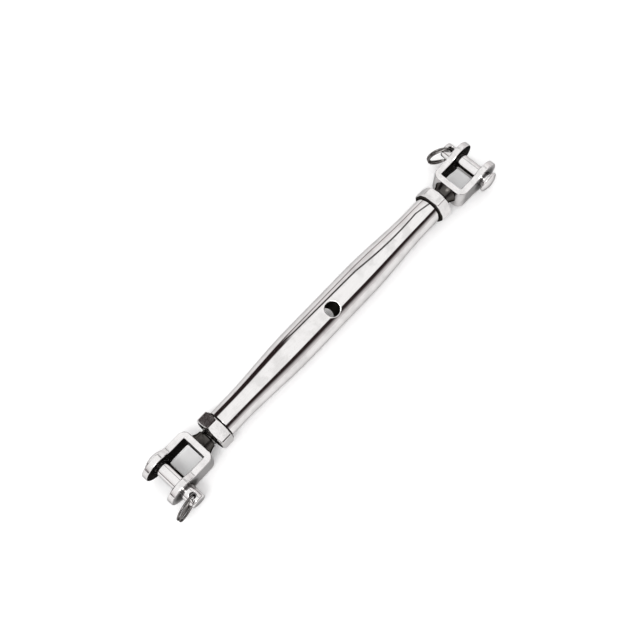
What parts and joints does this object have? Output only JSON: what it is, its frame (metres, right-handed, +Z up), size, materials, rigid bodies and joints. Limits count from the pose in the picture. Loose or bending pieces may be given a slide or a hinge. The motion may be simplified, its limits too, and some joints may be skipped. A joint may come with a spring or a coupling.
{
  "type": "rigging turnbuckle",
  "caption": "Closed-body rigging turnbuckle with a fork, clevis pin and split ring at each end; turning the tube moves both forks in or out.",
  "frame": {"origin": "on the turnbuckle's axis, at the middle of the tube body and of its cross hole", "axes": "+X along the axis towards the right fork, both clevis pins along Y, +Z up from the surface the turnbuckle lies on"},
  "size_m": [0.2371, 0.0379, 0.0196],
  "materials": {
    "polished_stainless": "mirror-polished stainless steel with fine lengthwise polishing lines",
    "nut_stainless": "bright machined stainless steel",
    "fork_stainless": "polished stainless steel, slightly soft at the edges",
    "threaded_stainless": "rolled thread in stainless steel",
    "pin_stainless": "polished stainless steel",
    "wire_stainless": "bright drawn stainless wire"
  },
  "bodies": {
    "left_end": {"fork_left": "fork_stainless", "stud_left": "threaded_stainless"},
    "left_nut": {"lock_nut_left": "nut_stainless"},
    "body": {"tube_body": "polished_stainless"},
    "right_nut": {"lock_nut_right": "nut_stainless"},
    "right_end": {"fork_right": "fork_stainless", "stud_right": "threaded_stainless"},
    "left_pin": {"clevis_pin_left": "pin_stainless"},
    "right_pin": {"clevis_pin_right": "pin_stainless"},
    "left_ring": {"split_ring_left": "wire_stainless"},
    "right_ring": {"split_ring_right": "wire_stainless"}
  },
  "joints": [
    {"name": "left_nut_travel", "type": "slide", "parent": "left_end", "child": "left_nut", "axis": [1, 0, 0], "range_m": [0, 0.0501]},
    {"name": "body_turn", "type": "hinge", "parent": "left_nut", "child": "body", "pos_m": [0, 0, 0], "axis": [1, 0, 0], "range_deg": [0, 12000]},
    {"name": "right_nut_back_off", "type": "slide", "parent": "body", "child": "right_nut", "axis": [1, 0, 0], "range_m": [0, 0.0015]},
    {"name": "right_end_travel", "type": "slide", "parent": "left_end", "child": "right_end", "axis": [1, 0, 0], "range_m": [0, 0.1002]},
    {"name": "left_pin_turn", "type": "hinge", "parent": "left_end", "child": "left_pin", "pos_m": [-0.1077, 0, 0], "axis": [0, -1, 0], "continuous": true},
    {"name": "right_pin_turn", "type": "hinge", "parent": "right_end", "child": "right_pin", "pos_m": [0.1077, 0, 0], "axis": [0, 1, 0], "continuous": true},
    {"name": "left_ring_swing", "type": "hinge", "parent": "left_pin", "child": "left_ring", "pos_m": [-0.1077, -0.0144, 0], "axis": [0, 0, 1], "range_deg": [-12, 168]},
    {"name": "right_ring_swing", "type": "hinge", "parent": "right_pin", "child": "right_ring", "pos_m": [0.1077, 0.0127, 0], "axis": [0, 0, -1], "range_deg": [-30, 150]}
  ],
  "couplings": [
    {"joint": "left_nut_travel", "follows": "body_turn", "m_per_rad": 0.00023873},
    {"joint": "right_end_travel", "follows": "body_turn", "m_per_rad": 0.00047746}
  ]
}
